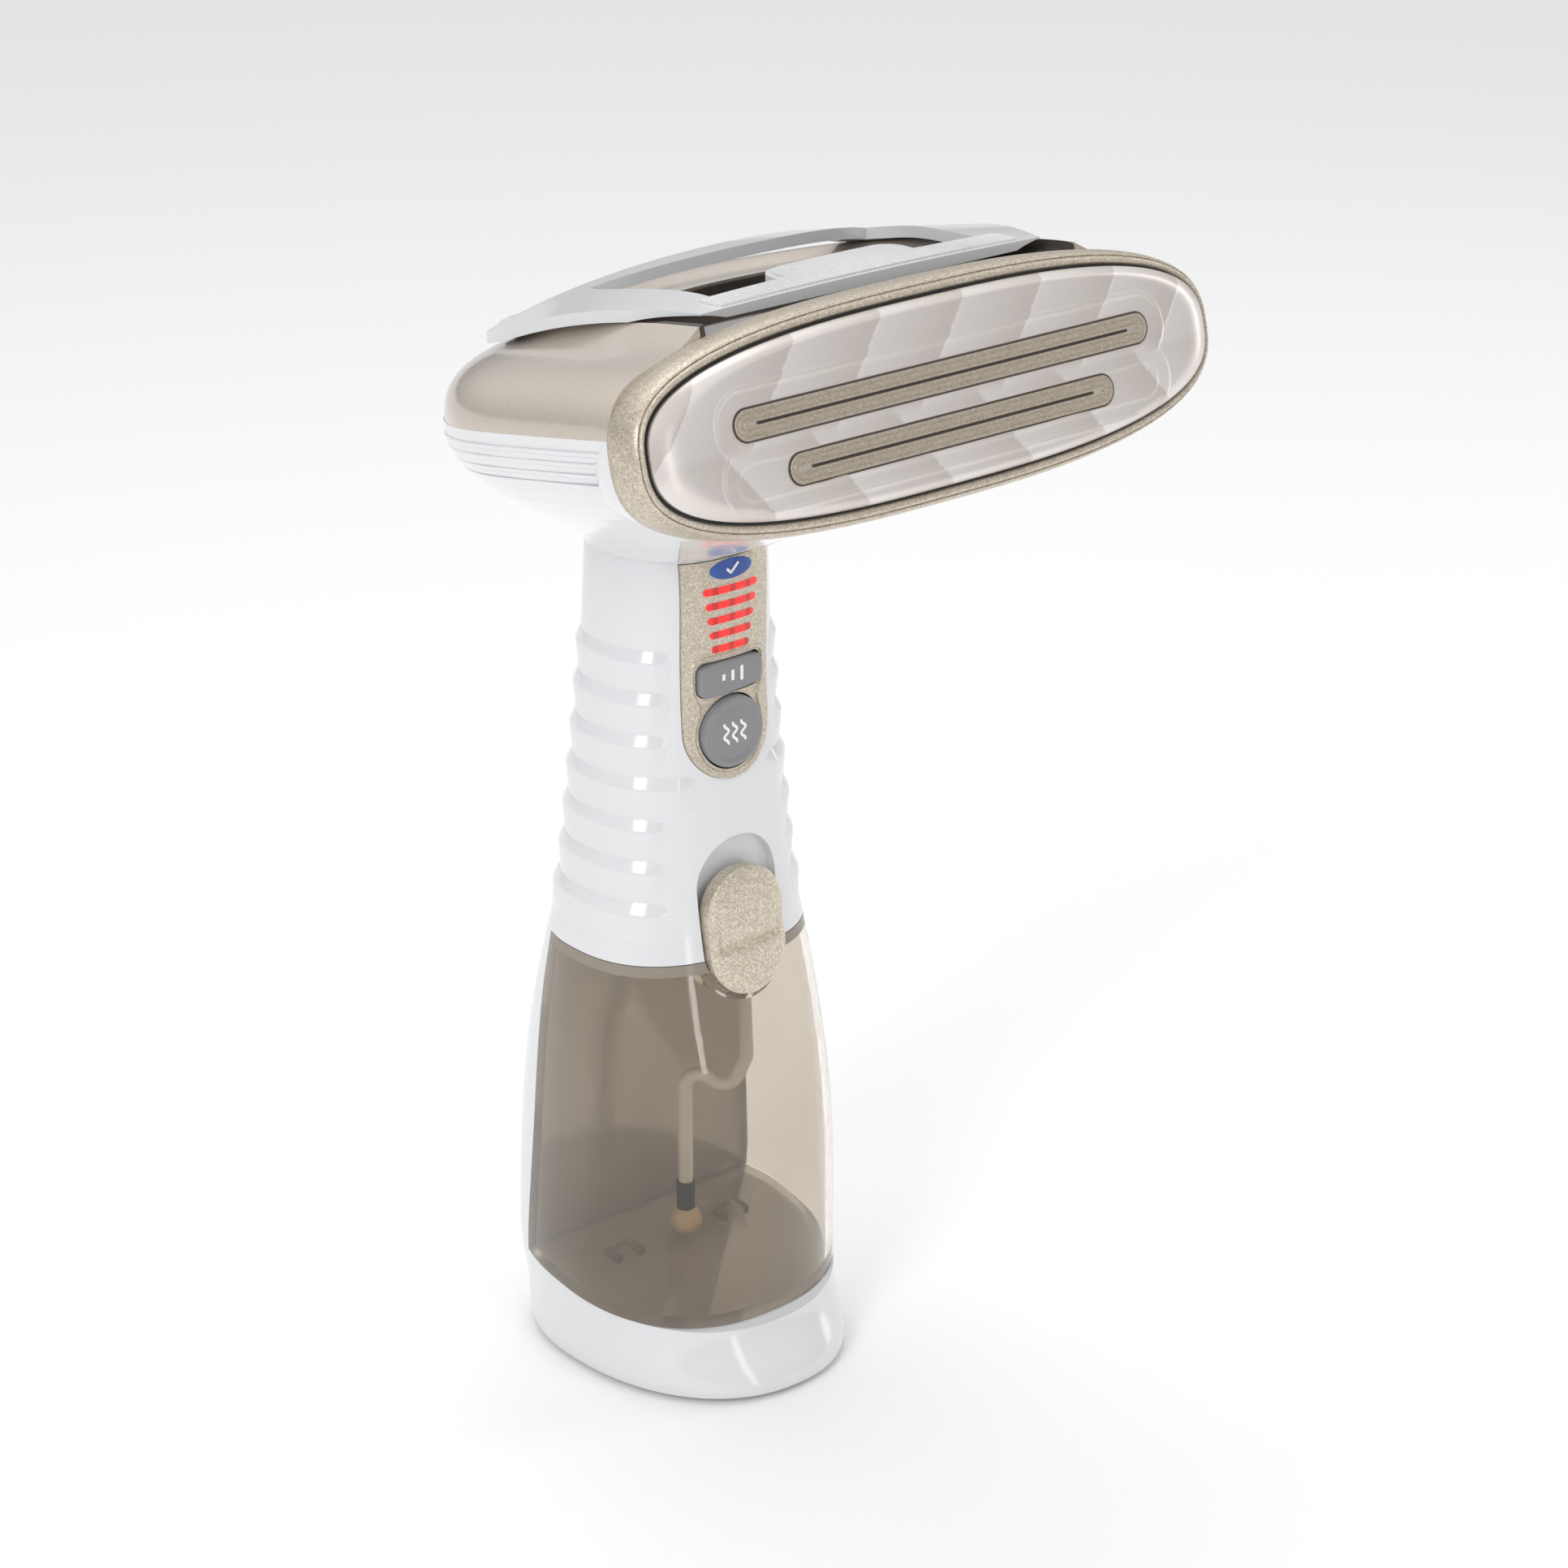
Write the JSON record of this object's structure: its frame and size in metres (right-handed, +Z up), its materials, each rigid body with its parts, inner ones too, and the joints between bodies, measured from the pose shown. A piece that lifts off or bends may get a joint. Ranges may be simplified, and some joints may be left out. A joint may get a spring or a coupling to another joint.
{
  "type": "garment steamer",
  "caption": "Upright hand-held garment steamer: wide tilted steam plate with slotted nozzle bars on a ribbed handle, slide-off smoked water tank below, button panel, latch and top lever frame.",
  "frame": {"origin": "on the floor under the middle of the object's bounding box", "axes": "+Z up the handle, steam plate facing -Y, +X across the steam plate to the right when it faces the viewer"},
  "size_m": [0.1948, 0.1639, 0.338],
  "materials": {
    "white_abs": "moulded white ABS, high gloss",
    "champagne_gloss": "champagne lacquered ABS, high gloss",
    "champagne_metallic": "ABS under coarse champagne metallic paint",
    "pearl_plate": "pearl coated aluminium, satin",
    "nozzle_metal": "champagne metallic coat",
    "grey_plastic": "grey satin button plastic",
    "red_lens": "translucent red acrylic",
    "blue_lens": "translucent blue acrylic",
    "smoked_tank": "smoked clear SAN, polished",
    "smoked_window": "dark smoked clear plastic",
    "clear_silicone": "translucent silicone",
    "dark_rubber": "matt moulded rubber",
    "tan_filter": "sintered tan filter",
    "cast_aluminium": "die cast, bead blasted",
    "steel": "zinc plated steel",
    "brass_fitting": "turned brass",
    "black_plastic": "black glass filled nylon",
    "circuit_board": "green solder mask",
    "wire_sleeve": "silicone wire sleeve",
    "copper_winding": "enamelled copper wire on a steel core"
  },
  "bodies": {
    "body": {"base_cover": "white_abs", "base_screws": "steel", "base_shell": "white_abs", "chamber_inlet": "brass_fitting", "chamber_lid": "cast_aluminium", "chamber_screws": "steel", "chin_trim": "champagne_gloss", "control_board": "circuit_board", "control_panel": "champagne_metallic", "cord_inlet_bushing": "dark_rubber", "delivery_tube": "clear_silicone", "dock_plate": "white_abs", "dock_seal": "dark_rubber", "frame_hinge_ears": "white_abs", "handle_front_shell": "white_abs", "handle_rear_shell": "white_abs", "handle_screws": "steel", "head_bezel": "champagne_metallic", "heat_shield": "steel", "heating_element": "steel", "indicator_bars": "red_lens", "indicator_lamps": "clear_silicone", "lower_head_shell": "white_abs", "lower_nozzle_bar": "nozzle_metal", "plate_gasket": "dark_rubber", "pump_body": "black_plastic", "pump_coil": "copper_winding", "pump_cushion": "dark_rubber", "ready_lens": "blue_lens", "rubber_feet": "dark_rubber", "steam_chamber": "cast_aluminium", "steam_plate": "pearl_plate", "suction_tube": "clear_silicone", "tact_switches": "black_plastic", "terminal_block": "black_plastic", "thermal_fuse": "steel", "thermostat": "black_plastic", "top_window": "smoked_window", "upper_hood": "champagne_gloss", "upper_nozzle_bar": "nozzle_metal", "wiring": "wire_sleeve"},
    "tank": {"tank_body": "smoked_tank", "tank_lid": "smoked_tank", "tank_floor_clips": "smoked_tank", "water_tube": "clear_silicone", "tube_sleeve": "dark_rubber", "filter_ball": "tan_filter", "latch_spring": "steel"},
    "latch": {"tank_latch": "champagne_metallic"},
    "plug": {"fill_plug": "dark_rubber"},
    "steam_key": {"steam_button": "grey_plastic"},
    "setting_key": {"setting_button": "grey_plastic"},
    "lever_frame": {"top_frame": "white_abs", "frame_grip_pad": "white_abs", "frame_post": "grey_plastic", "frame_hinge_pins": "steel"}
  },
  "joints": [
    {"name": "tank_slide", "type": "slide", "parent": "body", "child": "tank", "axis": [0, -0.9889, -0.1483], "range_m": [0, 0.08]},
    {"name": "latch_slide", "type": "slide", "parent": "tank", "child": "latch", "axis": [0, 0.1219, 0.9925], "range_m": [0, 0.007], "stiffness_N_per_m": 300, "springref_m": -0.003},
    {"name": "plug_lift", "type": "slide", "parent": "tank", "child": "plug", "axis": [0, 0, 1], "range_m": [0, 0.0055]},
    {"name": "steam_press", "type": "slide", "parent": "body", "child": "steam_key", "axis": [0, 1, 0], "range_m": [0, 0.0012], "stiffness_N_per_m": 900, "springref_m": -0.001},
    {"name": "setting_press", "type": "slide", "parent": "body", "child": "setting_key", "axis": [0, 1, 0], "range_m": [0, 0.0008], "stiffness_N_per_m": 900, "springref_m": -0.001},
    {"name": "frame_lever", "type": "hinge", "parent": "body", "child": "lever_frame", "pos_m": [0, 0.0255, 0.3172], "axis": [-1, 0, 0], "range_deg": [0, 12]}
  ]
}
